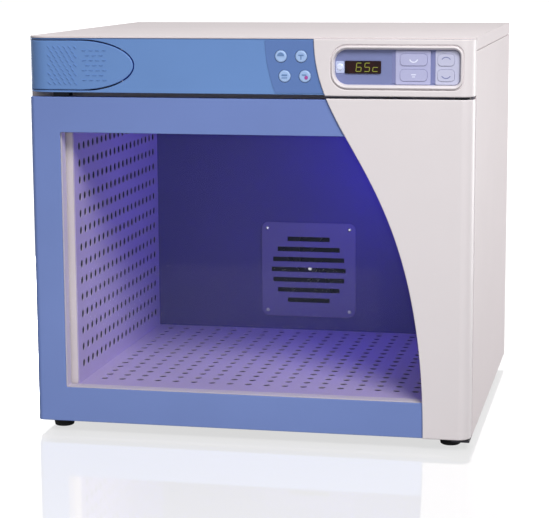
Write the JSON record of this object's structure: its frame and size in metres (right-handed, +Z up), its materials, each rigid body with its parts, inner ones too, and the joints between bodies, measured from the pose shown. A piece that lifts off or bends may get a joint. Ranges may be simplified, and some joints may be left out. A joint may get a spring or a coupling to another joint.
{
  "type": "blanket warming cabinet",
  "caption": "Countertop warming cabinet with a side-hinged glass door, a lit chamber with perforated walls and deck, a push paddle latch and a header console with keys and a display.",
  "frame": {"origin": "on the floor, under the middle of the cabinet's bounding box", "axes": "+X to the right seen from the front, -Y out of the front, +Z up"},
  "size_m": [0.762, 0.7, 0.686],
  "materials": {
    "white_paint": "satin",
    "liner_paint": "satin",
    "liner_aluminium": "satin",
    "shell_aluminium": "satin",
    "black_rubber": "matte",
    "grey_rubber": "matte",
    "steel": "satin",
    "motor_paint": "satin",
    "insulation": "matte",
    "lamp_lens": "satin",
    "blue_plastic": "satin",
    "overlay_blue": "satin",
    "key_blue": "satin",
    "white_plastic": "satin",
    "door_liner_plastic": "satin",
    "tray_blue": "satin",
    "lavender_plastic": "satin",
    "display_black": "gloss",
    "board_green": "satin",
    "clear_glass": "gloss",
    "bush_nylon": "satin",
    "black_plastic": "satin"
  },
  "bodies": {
    "cabinet": {"left_side_panel": "white_paint", "right_side_panel": "white_paint", "top_cover": "white_paint", "bottom_pan": "white_paint", "back_panel": "white_paint", "front_frame": "liner_paint", "foot_front_left": "black_rubber", "foot_front_right": "black_rubber", "foot_back_left": "black_rubber", "foot_back_right": "black_rubber", "upper_hinge_bracket": "steel", "lower_hinge_bracket": "steel", "upper_hinge_pin": "steel", "lower_hinge_pin": "steel", "left_duct_panel": "liner_aluminium", "right_duct_panel": "liner_aluminium", "floor_deck": "liner_aluminium", "chamber_back": "liner_aluminium", "chamber_ceiling": "liner_aluminium", "liner_shell": "shell_aluminium", "insulation_wrap": "insulation", "back_insulation": "insulation", "chamber_lamp": "lamp_lens", "return_grille": "liner_aluminium", "blower_motor": "motor_paint", "heating_element": "steel", "temperature_probe": "steel", "header_fascia": "blue_plastic", "header_panel": "white_plastic", "keypad_overlay": "overlay_blue", "console_bezel": "white_plastic", "console_tray": "tray_blue", "display_window": "display_black", "indicator_lens": "white_plastic", "set_pad": "lavender_plastic", "arrow_pad": "white_plastic", "control_board": "board_green", "paddle_pin": "steel", "power_inlet": "black_plastic"},
    "door": {"door_frame": "blue_plastic", "door_panel": "white_plastic", "door_liner": "door_liner_plastic", "door_glass": "clear_glass", "door_gasket": "grey_rubber", "upper_hinge_bush": "bush_nylon", "lower_hinge_bush": "bush_nylon", "door_strike": "steel"},
    "paddle": {"latch_paddle": "blue_plastic"},
    "magnet_carrier": {"latch_magnet": "steel"},
    "mode_key_1": {"mode_key_1": "key_blue"},
    "mode_key_2": {"mode_key_2": "key_blue"},
    "mode_key_3": {"mode_key_3": "key_blue"},
    "mode_key_4": {"mode_key_4": "key_blue"},
    "set_key_upper": {"set_key_upper": "lavender_plastic"},
    "set_key_lower": {"set_key_lower": "lavender_plastic"},
    "arrow_key_up": {"arrow_key_up": "white_plastic"},
    "arrow_key_down": {"arrow_key_down": "white_plastic"},
    "blower_rotor": {"blower_impeller": "shell_aluminium", "blower_shaft": "steel"},
    "rocker": {"power_rocker": "black_plastic"}
  },
  "joints": [
    {"name": "door_hinge", "type": "hinge", "parent": "cabinet", "child": "door", "pos_m": [0.365, -0.3285, 0.302], "axis": [0, 0, 1], "range_deg": [0, 115]},
    {"name": "paddle_pivot", "type": "hinge", "parent": "cabinet", "child": "paddle", "pos_m": [-0.211, -0.335, 0.6376], "axis": [0, 0, -1], "range_deg": [0, 3], "stiffness_Nm_per_rad": 30, "springref_deg": -1.15},
    {"name": "magnet_lift", "type": "slide", "parent": "cabinet", "child": "magnet_carrier", "axis": [0, 0, 1], "range_m": [0, 0.0064]},
    {"name": "mode_key_1_press", "type": "slide", "parent": "cabinet", "child": "mode_key_1", "axis": [0, 1, 0], "range_m": [0, 0.0008], "stiffness_N_per_m": 1500, "springref_m": -0.0005},
    {"name": "mode_key_2_press", "type": "slide", "parent": "cabinet", "child": "mode_key_2", "axis": [0, 1, 0], "range_m": [0, 0.0008], "stiffness_N_per_m": 1500, "springref_m": -0.0005},
    {"name": "mode_key_3_press", "type": "slide", "parent": "cabinet", "child": "mode_key_3", "axis": [0, 1, 0], "range_m": [0, 0.0008], "stiffness_N_per_m": 1500, "springref_m": -0.0005},
    {"name": "mode_key_4_press", "type": "slide", "parent": "cabinet", "child": "mode_key_4", "axis": [0, 1, 0], "range_m": [0, 0.0008], "stiffness_N_per_m": 1500, "springref_m": -0.0005},
    {"name": "set_key_upper_press", "type": "slide", "parent": "cabinet", "child": "set_key_upper", "axis": [0, 1, 0], "range_m": [0, 0.0008], "stiffness_N_per_m": 1500, "springref_m": -0.0005},
    {"name": "set_key_lower_press", "type": "slide", "parent": "cabinet", "child": "set_key_lower", "axis": [0, 1, 0], "range_m": [0, 0.0008], "stiffness_N_per_m": 1500, "springref_m": -0.0005},
    {"name": "arrow_key_up_press", "type": "slide", "parent": "cabinet", "child": "arrow_key_up", "axis": [0, 1, 0], "range_m": [0, 0.0008], "stiffness_N_per_m": 1500, "springref_m": -0.0005},
    {"name": "arrow_key_down_press", "type": "slide", "parent": "cabinet", "child": "arrow_key_down", "axis": [0, 1, 0], "range_m": [0, 0.0008], "stiffness_N_per_m": 1500, "springref_m": -0.0005},
    {"name": "blower_spin", "type": "hinge", "parent": "cabinet", "child": "blower_rotor", "pos_m": [0, 0.25, 0.2], "axis": [0, 1, 0], "continuous": true},
    {"name": "rocker_tilt", "type": "hinge", "parent": "cabinet", "child": "rocker", "pos_m": [0.282, 0.3454, 0.644], "axis": [1, 0, 0], "range_deg": [-14, 0]}
  ],
  "couplings": [
    {"joint": "magnet_lift", "follows": "paddle_pivot", "m_per_rad": 0.121}
  ]
}
